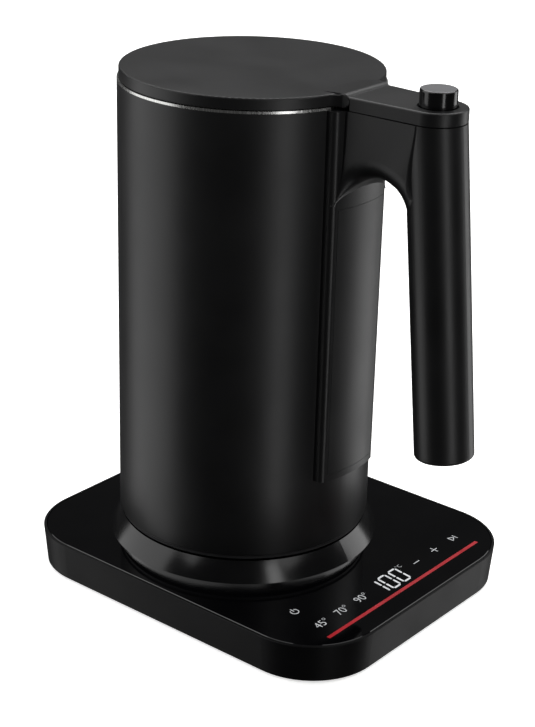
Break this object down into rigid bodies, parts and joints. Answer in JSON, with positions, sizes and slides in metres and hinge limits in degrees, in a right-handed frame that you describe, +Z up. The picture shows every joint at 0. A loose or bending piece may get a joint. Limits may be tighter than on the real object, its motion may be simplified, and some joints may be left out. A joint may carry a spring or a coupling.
{
  "type": "electric kettle with touch base",
  "caption": "Straight-sided black electric kettle with a hinged lid, push-button release and a bar handle, standing on a glass-topped touch base.",
  "frame": {"origin": "on the jug's axis, on the table plane under the feet", "axes": "+Z up along the jug's axis, +X towards the handle and the control strip, Y across"},
  "size_m": [0.209, 0.157, 0.2516],
  "materials": {
    "satin_black_shell": "satin moulded with a very fine texture",
    "black_glass": "opaque back-printed glass, mirror gloss",
    "gloss_black_seat": "polished mould gloss",
    "gloss_black_button": "polished mould gloss",
    "inner_black_plastic": "moulded, hidden",
    "foot_rubber": "soft matt",
    "screw_steel": "zinc-plated",
    "pot_steel": "brushed stainless",
    "heater_aluminium": "cast and turned",
    "contact_brass": "turned",
    "green_board": "solder resist",
    "grey_foam": "conductive foam",
    "display_white": "light box",
    "red_light": "diffusing light guide",
    "seal_silicone": "soft silicone"
  },
  "bodies": {
    "base": {"base_housing": "satin_black_shell", "base_glass": "black_glass", "base_seat": "gloss_black_seat", "bottom_cover": "inner_black_plastic", "rubber_feet": "foot_rubber", "base_screws": "screw_steel", "seat_screws": "screw_steel", "control_board": "green_board", "display_module": "display_white", "touch_pads": "grey_foam", "light_bar": "red_light", "power_board": "green_board", "power_parts": "inner_black_plastic", "base_connector": "inner_black_plastic", "connector_contacts": "contact_brass", "cord_gland": "foot_rubber"},
    "coupler": {"coupler_pin": "contact_brass", "coupler_ring": "contact_brass"},
    "jug": {"outer_shell": "satin_black_shell", "inner_pot": "pot_steel", "jug_base_cover": "inner_black_plastic", "jug_connector": "inner_black_plastic", "connector_screws": "screw_steel", "heater_plate": "heater_aluminium", "heating_element": "pot_steel", "temp_probe": "pot_steel", "probe_seal": "seal_silicone", "spout_beak": "satin_black_shell", "spout_filter": "pot_steel", "handle_body": "satin_black_shell", "handle_panel": "satin_black_shell", "handle_cap": "satin_black_shell", "grip_plug": "satin_black_shell", "handle_screws": "screw_steel", "hinge_bracket": "screw_steel", "hinge_pin": "screw_steel", "hinge_spring": "screw_steel", "bracket_screws": "screw_steel", "button_spring": "screw_steel"},
    "lid": {"lid_cover": "satin_black_shell", "lid_liner": "inner_black_plastic", "lid_gasket": "seal_silicone", "lid_screws": "screw_steel"},
    "button": {"release_button": "gloss_black_button", "button_pin": "screw_steel"},
    "latch": {"latch_slider": "inner_black_plastic"}
  },
  "joints": [
    {"name": "jug_lift", "type": "slide", "parent": "base", "child": "coupler", "axis": [0, 0, 1], "range_m": [0, 0.08]},
    {"name": "jug_spin", "type": "hinge", "parent": "coupler", "child": "jug", "pos_m": [0, 0, 0.03], "axis": [0, 0, 1], "continuous": true},
    {"name": "lid_hinge", "type": "hinge", "parent": "jug", "child": "lid", "pos_m": [0.0613, 0, 0.242], "axis": [0, 1, 0], "range_deg": [0, 80]},
    {"name": "button_press", "type": "slide", "parent": "jug", "child": "button", "axis": [0, 0, -1], "range_m": [0, 0.004], "stiffness_N_per_m": 600, "springref_m": -0.004, "deforming": ["button_spring"]},
    {"name": "latch_slide", "type": "slide", "parent": "jug", "child": "latch", "axis": [1, 0, 0], "range_m": [0, 0.004]}
  ],
  "couplings": [
    {"joint": "latch_slide", "follows": "button_press", "ratio": 1}
  ]
}
